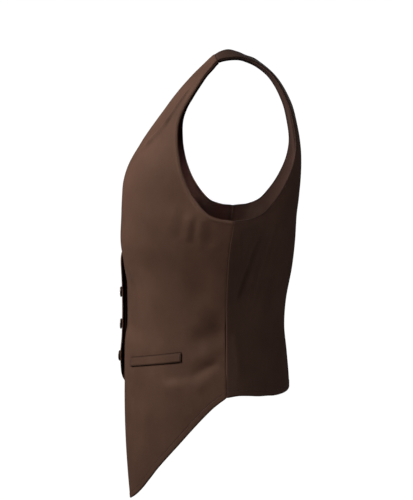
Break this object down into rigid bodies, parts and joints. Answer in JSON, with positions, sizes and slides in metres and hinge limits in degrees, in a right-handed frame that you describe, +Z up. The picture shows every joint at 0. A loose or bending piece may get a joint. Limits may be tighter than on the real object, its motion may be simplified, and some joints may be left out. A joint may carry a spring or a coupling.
{
  "type": "suit waistcoat",
  "caption": "Sleeveless buttoned waistcoat with a deep V neck, crossed fronts cut away to slanting points, low welt pockets and a shorter fitted back; worn over the torso.",
  "frame": {"origin": "midway between the neck ends of the two shoulder seams, where the waistcoat rests on the shoulders", "axes": "+Z up the body, the wearer faces -Y, the wearer's left side is +X"},
  "size_m": [0.332, 0.2574, 0.628],
  "materials": {
    "suit_cloth": "matte fine wool suiting, warm dark brown",
    "back_cloth": "smooth dark brown lining satin with a soft sheen",
    "lining": "smooth dark brown lining",
    "button": "dark brown, softly polished"
  },
  "bodies": {
    "root": {"front_left": "suit_cloth", "front_right": "suit_cloth", "back": "back_cloth", "lining_front_left": "lining", "lining_front_right": "lining", "lining_back": "lining", "pocket_welt_left": "suit_cloth", "pocket_welt_right": "suit_cloth", "button_top": "button", "button_middle": "button", "button_bottom": "button"}
  },
  "joints": []
}
